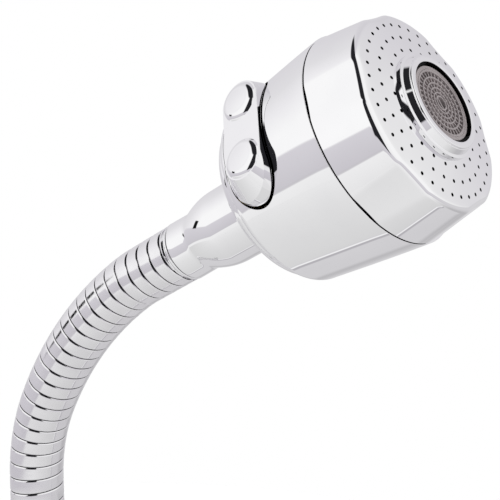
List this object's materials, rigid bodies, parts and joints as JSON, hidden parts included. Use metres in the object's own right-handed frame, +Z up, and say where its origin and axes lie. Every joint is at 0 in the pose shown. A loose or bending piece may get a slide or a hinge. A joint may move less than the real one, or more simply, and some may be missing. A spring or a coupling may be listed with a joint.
{
  "type": "handheld bath sprayer",
  "caption": "Chrome two-mode bath spray head with a ring of spray holes, a central aerator and a rocker diverter, on a ribbed stay-put gooseneck hose with a union nut.",
  "frame": {"origin": "centre of the open end of the union nut", "axes": "+Z up along the gooseneck's straight lower run; the gooseneck bends towards +X, and the spray face looks up and along +X"},
  "size_m": [0.1552, 0.0577, 0.2538],
  "materials": {
    "chrome": "mirror-polished plating",
    "steel_casing": "polished and plated winding",
    "brass": "machined",
    "rubber": "matte",
    "grey_plastic": "fine moulded",
    "acetal": "moulded",
    "liner": "smooth",
    "mesh": "woven wire",
    "screws": "plain"
  },
  "bodies": {
    "hose": {"hose_casing": "steel_casing", "inner_hose": "liner", "upper_spigot": "brass", "lower_tail": "brass", "lower_ferrule": "chrome", "base_washer": "rubber"},
    "union": {"union_nut": "chrome"},
    "head": {"cone_nut": "chrome", "inlet_washer": "rubber", "filter_screen": "mesh", "rear_shell": "chrome", "valve_body": "brass", "core_oring": "rubber", "core_screws": "screws", "bore_plugs": "brass", "rocker_pin": "screws", "front_bezel": "chrome", "bezel_gasket": "rubber", "centre_tube": "acetal", "centre_oring": "rubber", "aerator_collar": "chrome", "aerator_gasket": "rubber", "aerator_grille": "grey_plastic", "aerator_body": "grey_plastic", "flow_regulator": "acetal", "aerator_screen": "mesh"},
    "rocker": {"rocker": "chrome"},
    "spool": {"spool": "acetal", "spool_orings": "rubber"}
  },
  "joints": [
    {"name": "union_spin", "type": "hinge", "parent": "hose", "child": "union", "pos_m": [0, 0, 0.0115], "axis": [0, 0, 1], "continuous": true},
    {"name": "head_swivel", "type": "hinge", "parent": "hose", "child": "head", "pos_m": [0.06874, 0, 0.19823], "axis": [0.8721, 0, 0.4894], "continuous": true},
    {"name": "rocker_tilt", "type": "hinge", "parent": "head", "child": "rocker", "pos_m": [0.09395, -0.01756, 0.22429], "axis": [0.8721, 0, 0.4894], "range_deg": [-6, 6]},
    {"name": "spool_slide", "type": "slide", "parent": "head", "child": "spool", "axis": [-0.4212, 0.509, 0.7506], "range_m": [-0.00106, 0.00106]}
  ],
  "couplings": [
    {"joint": "spool_slide", "follows": "rocker_tilt", "m_per_rad": 0.01}
  ]
}
